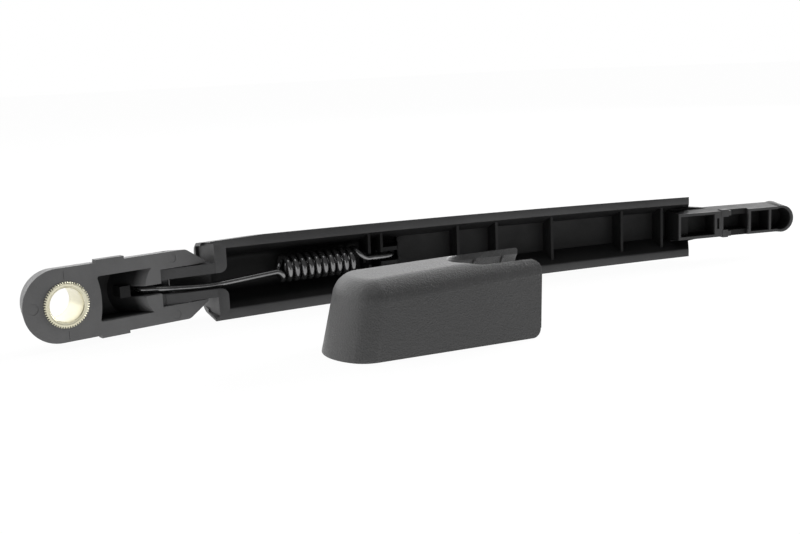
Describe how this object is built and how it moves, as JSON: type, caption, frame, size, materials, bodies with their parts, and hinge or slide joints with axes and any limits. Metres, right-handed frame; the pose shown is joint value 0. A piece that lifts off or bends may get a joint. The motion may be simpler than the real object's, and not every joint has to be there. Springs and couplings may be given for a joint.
{
  "type": "wiper arm",
  "caption": "Wiper arm with a mounting head on a knurled spindle bush, a hinged channel-section arm held down by a tension spring, a clip-on blade tip and a loose nut cap.",
  "frame": {"origin": "on the spindle bush's axis, at the mounting head's underside", "axes": "+X along the arm towards the blade tip, +Y along the spindle and away from the glass, +Z across the arm, up when it lies on its side as shown"},
  "size_m": [0.3022, 0.1138, 0.0284],
  "materials": {
    "head_plastic": "fine satin moulding",
    "arm_plastic": "fine satin moulding",
    "cap_plastic": "grained",
    "bush_metal": "pale yellow, knurled round the outside",
    "pin_steel": "plain",
    "spring_wire": "gloss black"
  },
  "bodies": {
    "head": {"mounting_head": "head_plastic", "spindle_bush": "bush_metal", "hinge_pin": "pin_steel", "nut_cap": "cap_plastic"},
    "swing_arm": {"arm": "arm_plastic", "tension_spring": "spring_wire"}
  },
  "joints": [
    {"name": "arm_lift", "type": "hinge", "parent": "head", "child": "swing_arm", "pos_m": [0.0374, 0.0085, 0], "axis": [0, 0, 1], "range_deg": [0, 70], "stiffness_Nm_per_rad": 0.8, "springref_deg": -91.67, "deforming": ["tension_spring"]}
  ]
}
